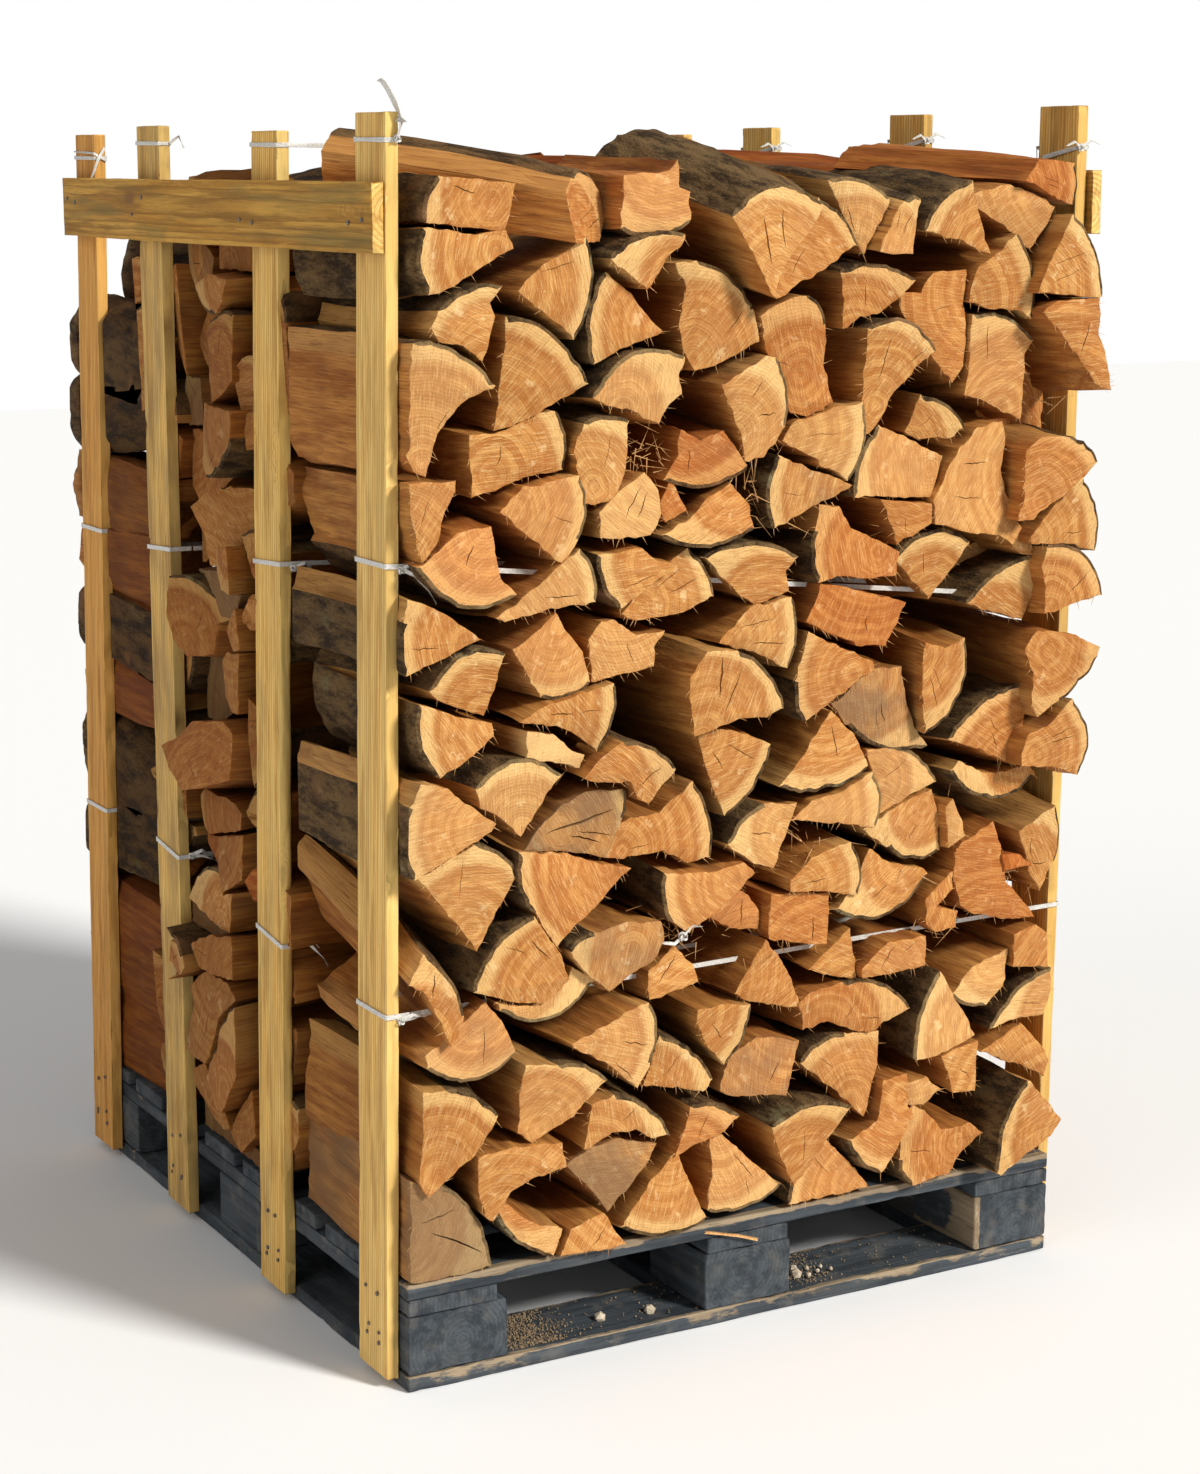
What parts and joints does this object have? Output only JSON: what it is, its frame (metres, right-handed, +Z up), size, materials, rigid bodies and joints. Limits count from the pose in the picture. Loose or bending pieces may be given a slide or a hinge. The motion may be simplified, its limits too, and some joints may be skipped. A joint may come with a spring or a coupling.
{
  "type": "palletised split firewood stack",
  "caption": "Split hardwood logs stacked in crossed ranks on a dark painted block pallet, held by upright battens, side rails and white plastic twine.",
  "frame": {"origin": "on the floor under the centre of the bundle's bounding box", "axes": "+Z up, +X along the front from the viewer's left to right, +Y from the front to the back"},
  "size_m": [1.1077, 1.206, 1.589],
  "materials": {
    "pallet_paint": "matte weathered blue-grey paint over rough wood",
    "batten_wood": "rough-sawn softwood",
    "rail_wood": "rough-sawn weathered softwood",
    "split_wood": "fresh split and saw-cut hardwood",
    "bark": "rough furrowed bark",
    "twine": "flat white polypropylene twine"
  },
  "bodies": {
    "root": {"block_back_left": "pallet_paint", "block_back_middle": "pallet_paint", "block_back_right": "pallet_paint", "block_centre_left": "pallet_paint", "block_centre_middle": "pallet_paint", "block_centre_right": "pallet_paint", "block_front_left": "pallet_paint", "block_front_middle": "pallet_paint", "block_front_right": "pallet_paint", "deck_board_1": "pallet_paint", "deck_board_2": "pallet_paint", "deck_board_3": "pallet_paint", "deck_board_4": "pallet_paint", "deck_board_5": "pallet_paint", "deck_board_6": "pallet_paint", "deck_board_7": "pallet_paint", "deck_board_8": "pallet_paint", "log_top_bark": "bark", "log_top_flat": "split_wood", "log_top_left": "split_wood", "log_top_split": "split_wood", "logs_back_low": "bark", "logs_back_mid": "bark", "logs_back_top": "bark", "logs_core_low": "split_wood", "logs_core_mid": "split_wood", "logs_core_top": "split_wood", "logs_front_low": "split_wood", "logs_front_mid": "split_wood", "logs_front_top": "split_wood", "post_left_1": "batten_wood", "post_left_2": "batten_wood", "post_left_3": "batten_wood", "post_left_4": "batten_wood", "post_right_1": "batten_wood", "post_right_2": "batten_wood", "post_right_3": "batten_wood", "post_right_4": "batten_wood", "rail_left": "rail_wood", "rail_right": "rail_wood", "skid_back": "pallet_paint", "skid_front": "pallet_paint", "skid_left": "pallet_paint", "skid_middle": "pallet_paint", "skid_right": "pallet_paint", "stringer_left": "pallet_paint", "stringer_middle": "pallet_paint", "stringer_right": "pallet_paint", "tie_low_1": "twine", "tie_low_2": "twine", "tie_low_3": "twine", "tie_low_4": "twine", "tie_mid_1": "twine", "tie_mid_2": "twine", "tie_mid_3": "twine", "tie_mid_4": "twine", "tie_top_1": "twine", "tie_top_2": "twine", "tie_top_3": "twine", "tie_top_4": "twine"}
  },
  "joints": []
}
